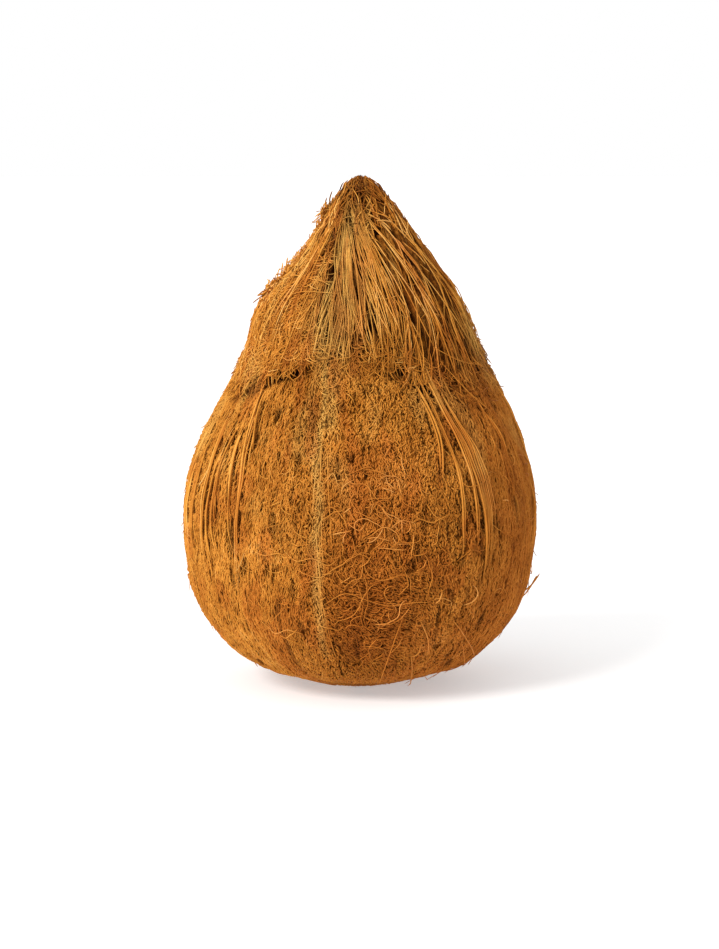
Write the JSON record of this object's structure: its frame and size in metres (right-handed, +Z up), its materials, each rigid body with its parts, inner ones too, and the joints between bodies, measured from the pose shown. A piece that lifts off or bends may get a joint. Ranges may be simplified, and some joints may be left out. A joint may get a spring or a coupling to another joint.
{
  "type": "brown coconut",
  "caption": "Husked brown coconut: a rounded three-sided nut under a mat of coir fibre, with a pointed fibre tuft over its top and a small flat spot to stand on.",
  "frame": {"origin": "on the surface that the coconut stands on, under the middle of its box", "axes": "+Z runs up the fruit to the tip of its tuft; -Y is the front, with +X to the right seen from there"},
  "size_m": [0.1163, 0.1163, 0.165],
  "materials": {
    "coir": "matte"
  },
  "bodies": {
    "root": {"coconut": "coir"}
  },
  "joints": []
}
